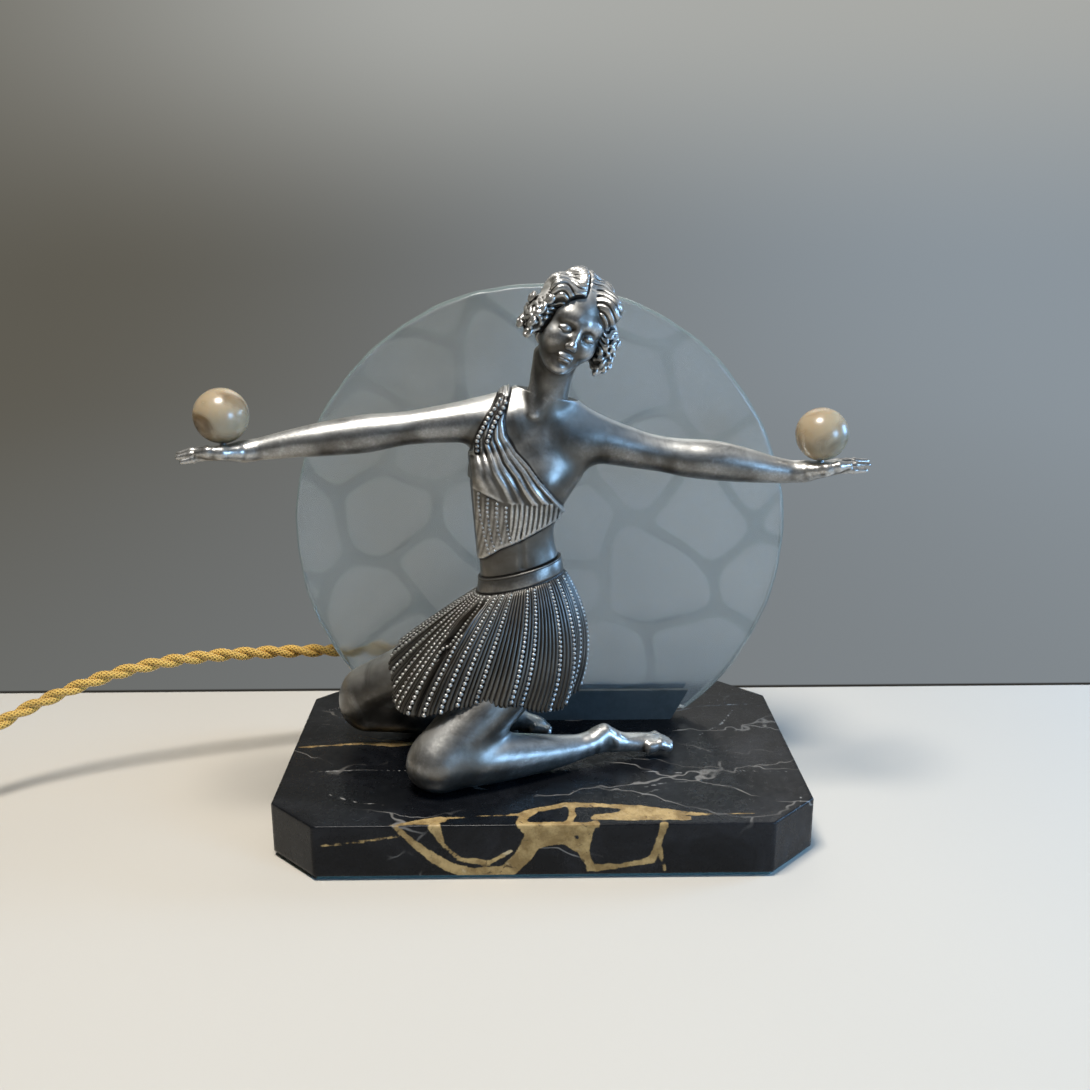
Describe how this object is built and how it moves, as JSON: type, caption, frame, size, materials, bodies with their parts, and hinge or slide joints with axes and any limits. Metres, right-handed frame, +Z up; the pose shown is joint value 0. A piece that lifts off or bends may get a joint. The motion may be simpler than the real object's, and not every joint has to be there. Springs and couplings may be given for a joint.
{
  "type": "figural table lamp",
  "caption": "Table lamp: a kneeling cast dancer with balls on the hands, before a round glass screen lit by a bulb behind it, on a chamfered marble base.",
  "frame": {"origin": "middle of the felt's underside, which rests on the table", "axes": "+X to the viewer's right along the base, +Y from the figure towards the bulb behind the glass, +Z up"},
  "size_m": [0.629, 0.2015, 0.2523],
  "materials": {
    "marble": "polished black marble with gold and white veins",
    "felt": "dark teal felt",
    "dark_metal": "dark patinated sheet metal",
    "steel": "zinc plated",
    "rubber": "matte strip",
    "frosted_glass": "frosted, with smooth grooves between raised cells",
    "antique_silver": "cast metal with a worn silver patina, dark in the recesses",
    "ivory": "ivory coloured, mottled tan",
    "brass": "aged brass",
    "ceramic": "unglazed white",
    "cap_metal": "bright",
    "clear_glass": "clear",
    "lead_cover": "brown core insulation",
    "gold_braid": "gold fabric over two twisted cores",
    "dark_plastic": "dark brown moulding",
    "rocker_plastic": "black moulding"
  },
  "bodies": {
    "lamp": {"base_slab": "marble", "base_felt": "felt", "glass_channel": "dark_metal", "channel_screws": "steel", "channel_nuts": "steel", "glass_cushion": "rubber", "figure_head": "antique_silver", "figure_torso": "antique_silver", "figure_arm_right": "antique_silver", "figure_arm_left": "antique_silver", "figure_skirt": "antique_silver", "figure_leg_left": "antique_silver", "figure_leg_right": "antique_silver", "figure_dowels": "steel", "figure_studs": "steel", "figure_washers": "steel", "figure_nuts": "steel", "ball_right": "ivory", "ball_left": "ivory", "ball_studs": "steel", "lamp_stem": "brass", "stem_bolt": "steel", "stem_washer": "steel", "stem_lid": "brass", "holder_nipple": "steel", "holder_cap": "brass", "holder_shell": "brass", "holder_insert": "ceramic", "holder_liner": "brass", "holder_contact": "brass", "cord_gland": "brass", "lamp_leads": "lead_cover", "cord_lead": "gold_braid", "cord_tail": "gold_braid", "cord_end": "gold_braid", "cord_coil": "gold_braid", "switch_base": "dark_plastic", "switch_cover": "dark_plastic", "switch_screws": "steel", "switch_blade": "brass", "plug_body": "dark_plastic", "plug_pins": "cap_metal"},
    "glass": {"glass_disc": "frosted_glass"},
    "bulb": {"bulb_cap": "cap_metal", "bulb_glass": "clear_glass", "bulb_mount": "clear_glass", "bulb_filament": "steel"},
    "rocker": {"switch_rocker": "rocker_plastic"}
  },
  "joints": [
    {"name": "glass_lift", "type": "slide", "parent": "lamp", "child": "glass", "axis": [0, 0, 1], "range_m": [0, 0.04]},
    {"name": "bulb_turn", "type": "hinge", "parent": "lamp", "child": "bulb", "pos_m": [-0.01, 0.061, 0.11], "axis": [0, 0, 1], "range_deg": [0, 1260]},
    {"name": "rocker_tilt", "type": "hinge", "parent": "lamp", "child": "rocker", "pos_m": [-0.356, -0.04, 0.014], "axis": [0, 1, 0], "range_deg": [-14, 0]}
  ]
}
